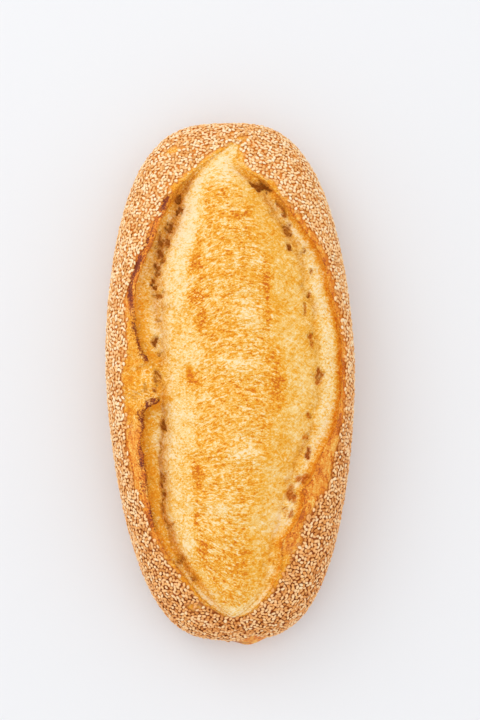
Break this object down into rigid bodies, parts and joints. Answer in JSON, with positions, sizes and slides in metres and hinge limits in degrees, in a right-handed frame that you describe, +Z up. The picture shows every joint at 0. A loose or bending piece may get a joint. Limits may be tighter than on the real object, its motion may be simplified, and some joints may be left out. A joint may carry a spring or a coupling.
{
  "type": "sesame bread loaf",
  "caption": "Short, wide oval bread loaf with a sesame-coated crust and one long slash opened into a pale, torn and toasted crown; food prop.",
  "frame": {"origin": "middle of the box's underside, on the surface the loaf rests on", "axes": "+Y along the loaf from its foot to its head, +X to the right with the head away from the viewer, +Z up"},
  "size_m": [0.1716, 0.3627, 0.0848],
  "materials": {
    "crust": "baked crust, dull to satin, with a toasted golden crown in the opened slash",
    "sesame": "toasted hulled sesame, satin"
  },
  "bodies": {
    "root": {"loaf": "crust"}
  },
  "joints": []
}
